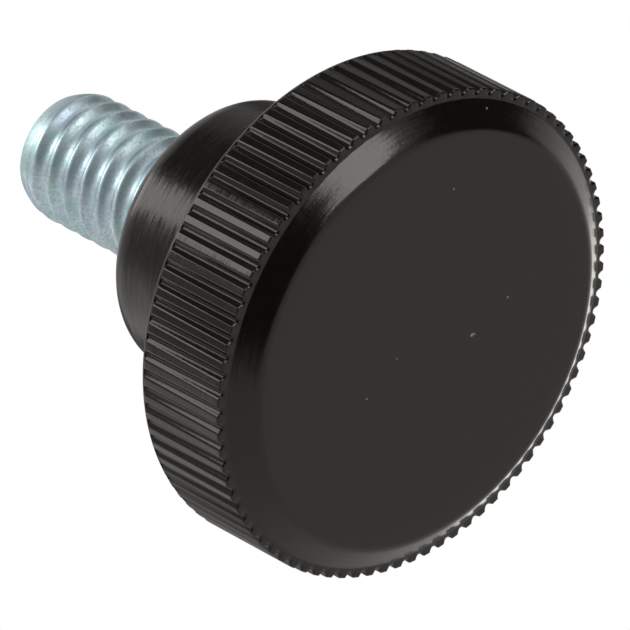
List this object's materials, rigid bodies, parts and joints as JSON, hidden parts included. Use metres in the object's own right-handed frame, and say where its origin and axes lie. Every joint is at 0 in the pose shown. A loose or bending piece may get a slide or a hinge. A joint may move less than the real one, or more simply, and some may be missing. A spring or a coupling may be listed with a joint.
{
  "type": "knurled thumb knob",
  "caption": "Round black knob with a straight-knurled rim, a flat chamfered face and a short hub, carrying a threaded steel stud for tightening by hand.",
  "frame": {"origin": "centre of the flat face, on the knob's axis, where the knob stands head down", "axes": "+Z along the knob's axis from the flat face towards the stud's tip; +X and +Y lie in the flat face, +X through the middle of a tooth"},
  "size_m": [0.03, 0.03, 0.0313],
  "materials": {
    "black_phenolic": "satin moulded",
    "zinc_plated_steel": "bright zinc plated"
  },
  "bodies": {
    "root": {"knob_head": "black_phenolic", "threaded_stud": "zinc_plated_steel"}
  },
  "joints": []
}
